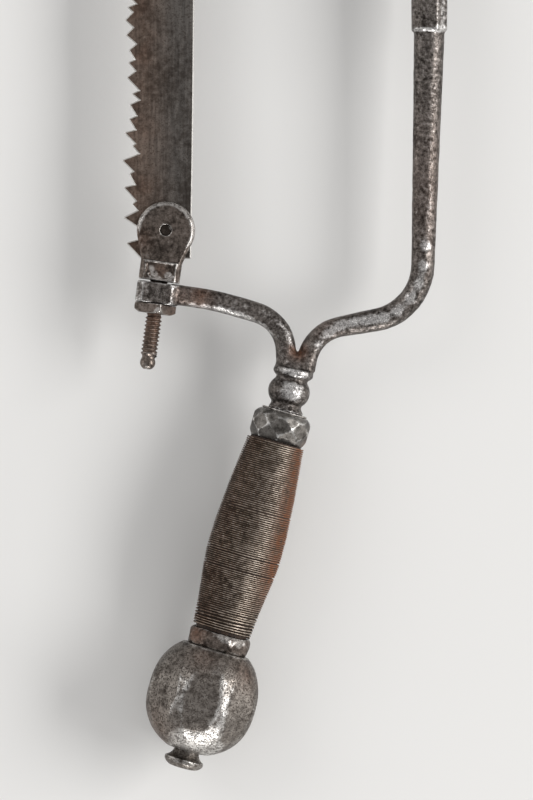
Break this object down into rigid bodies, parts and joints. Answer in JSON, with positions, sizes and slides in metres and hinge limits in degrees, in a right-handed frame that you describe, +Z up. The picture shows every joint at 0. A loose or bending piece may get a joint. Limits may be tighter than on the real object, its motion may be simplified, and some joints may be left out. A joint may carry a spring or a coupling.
{
  "type": "bow-framed amputation saw",
  "caption": "Old bow-framed amputation saw with a tensioned toothed blade, forked blade holders, wire-wound grip and faceted ball pommel.",
  "frame": {"origin": "middle of the pommel's lowest facet, on the face that the saw rests on when it lies on its side", "axes": "+X from the teeth towards the back bar, +Y along the blade away from the handle, +Z up, square to the flat of the saw"},
  "size_m": [0.1366, 0.5292, 0.0458],
  "materials": {
    "blade_steel": "satin",
    "forged_steel": "satin",
    "fork_steel": "satin",
    "pin_steel": "satin",
    "ferrule_steel": "satin",
    "pommel_steel": "satin",
    "winding_wire": "matte",
    "grip_wood": "matte"
  },
  "bodies": {
    "frame": {"bow_frame": "forged_steel", "far_fork": "fork_steel", "far_pin": "pin_steel", "ferrule_plate": "ferrule_steel", "ferrule": "ferrule_steel", "grip_core": "grip_wood", "grip_winding": "winding_wire", "grip_bead": "ferrule_steel", "pommel": "pommel_steel", "tang_button": "pommel_steel"},
    "nut": {"tension_nut": "fork_steel"},
    "fork": {"screw_fork": "fork_steel", "near_pin": "pin_steel"},
    "blade": {"blade": "blade_steel"}
  },
  "joints": [
    {"name": "nut_turn", "type": "hinge", "parent": "frame", "child": "nut", "pos_m": [-0.0197, 0.16332, 0.0229], "axis": [-0.1374, -0.9905, 0], "range_deg": [0, 360]},
    {"name": "screw_slide", "type": "slide", "parent": "frame", "child": "fork", "axis": [0.1374, 0.9905, 0], "range_m": [0, 0.00165]},
    {"name": "blade_swing", "type": "hinge", "parent": "fork", "child": "blade", "pos_m": [-0.01514, 0.19621, 0.0229], "axis": [0, 0, 1], "range_deg": [0, 45]}
  ],
  "couplings": [
    {"joint": "nut_turn", "follows": "screw_slide", "rad_per_m": 3808}
  ]
}
